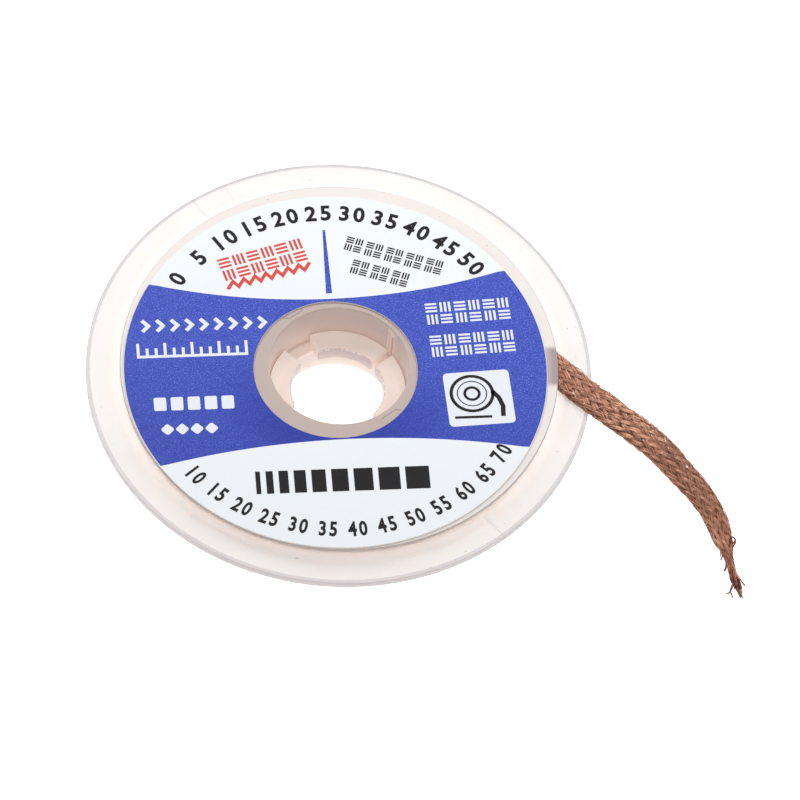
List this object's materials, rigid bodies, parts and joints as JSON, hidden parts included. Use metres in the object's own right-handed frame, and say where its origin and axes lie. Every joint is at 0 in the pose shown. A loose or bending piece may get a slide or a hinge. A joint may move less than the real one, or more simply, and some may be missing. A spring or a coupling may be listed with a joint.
{
  "type": "desoldering braid on its reel",
  "caption": "Flat copper desoldering braid wound in a round translucent reel with a brim, a press-in labelled cap and a loose tail.",
  "frame": {"origin": "middle of the foot ring's underside, on the axis of the bore", "axes": "+Z along the bore's axis, from the foot towards the labelled cap; +X towards the side where the braid's tail leaves the reel"},
  "size_m": [0.0601, 0.045, 0.0077],
  "materials": {
    "natural_plastic": "translucent natural polypropylene, satin gloss",
    "printed_label": "printed film, satin",
    "copper_braid": "fine braided copper wire with a dull flux coat"
  },
  "bodies": {
    "root": {"drum": "natural_plastic", "cap": "natural_plastic", "label": "printed_label", "braid_winding": "copper_braid", "braid_tail": "copper_braid"}
  },
  "joints": []
}
